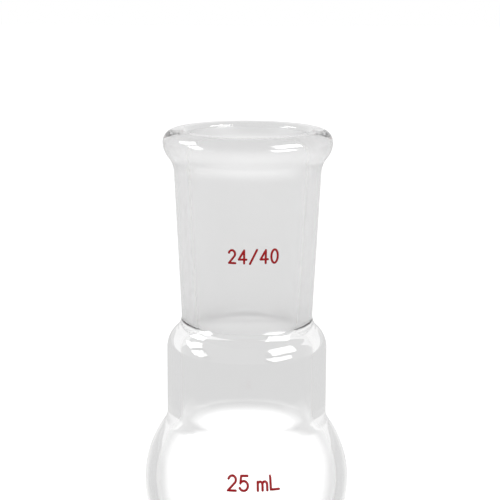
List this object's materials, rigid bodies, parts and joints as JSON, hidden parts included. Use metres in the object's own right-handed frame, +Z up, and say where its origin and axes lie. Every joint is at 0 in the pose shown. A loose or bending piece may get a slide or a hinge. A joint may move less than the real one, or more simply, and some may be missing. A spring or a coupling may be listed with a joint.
{
  "type": "single neck flask",
  "caption": "Small heavy-wall round-bottomed glass flask with a beaded neck and a tapered ground socket, for heating liquids in joined glassware.",
  "frame": {"origin": "centre of the mouth, in the plane of the rim, on the axis of the ground socket", "axes": "+Z up along the flask's axis, out of the mouth; the bulb is at the bottom; -Y is the side with the red marks"},
  "size_m": [0.0414, 0.0414, 0.0925],
  "materials": {
    "borosilicate_glass": "clear and fire-polished, with the tapered socket ground matt inside",
    "red_enamel": "fired-on red marks: the joint size and the volume"
  },
  "bodies": {
    "root": {"flask": "borosilicate_glass"}
  },
  "joints": []
}
